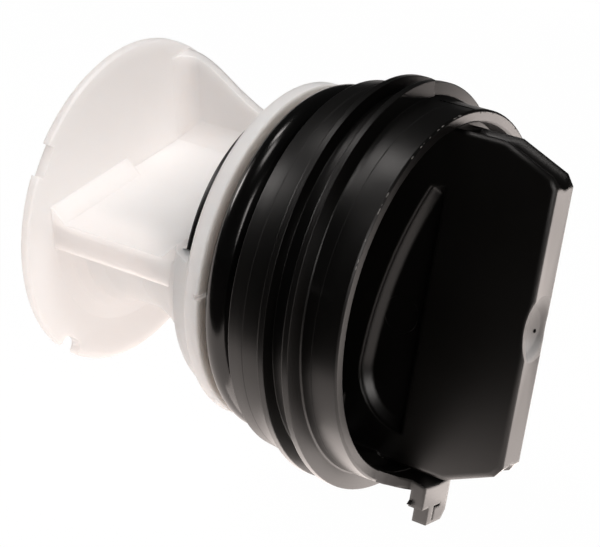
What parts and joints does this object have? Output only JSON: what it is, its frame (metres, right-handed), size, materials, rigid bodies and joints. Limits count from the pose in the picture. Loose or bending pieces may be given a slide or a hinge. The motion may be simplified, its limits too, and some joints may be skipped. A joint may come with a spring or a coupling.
{
  "type": "pump filter",
  "caption": "Drain pump filter: black screw cap with a cup, cross grip and rib thread, a rubber seal ring and a milky white lint insert that turns on the cap.",
  "frame": {"origin": "on the common axis, in the plane of the flange's back face", "axes": "+Y along the axis into the pump housing, +Z along the grip, +X across the grip"},
  "size_m": [0.0652, 0.0786, 0.0685],
  "materials": {
    "cap_black": "satin moulded polypropylene",
    "seal_rubber": "smooth moulded rubber",
    "insert_white": "satin milky polypropylene"
  },
  "bodies": {
    "cap": {"screw_cap": "cap_black", "seal_ring": "seal_rubber"},
    "insert": {"filter_insert": "insert_white"}
  },
  "joints": [
    {"name": "insert_turn", "type": "hinge", "parent": "cap", "child": "insert", "pos_m": [0, 0.0091, 0], "axis": [0, 1, 0], "continuous": true}
  ]
}
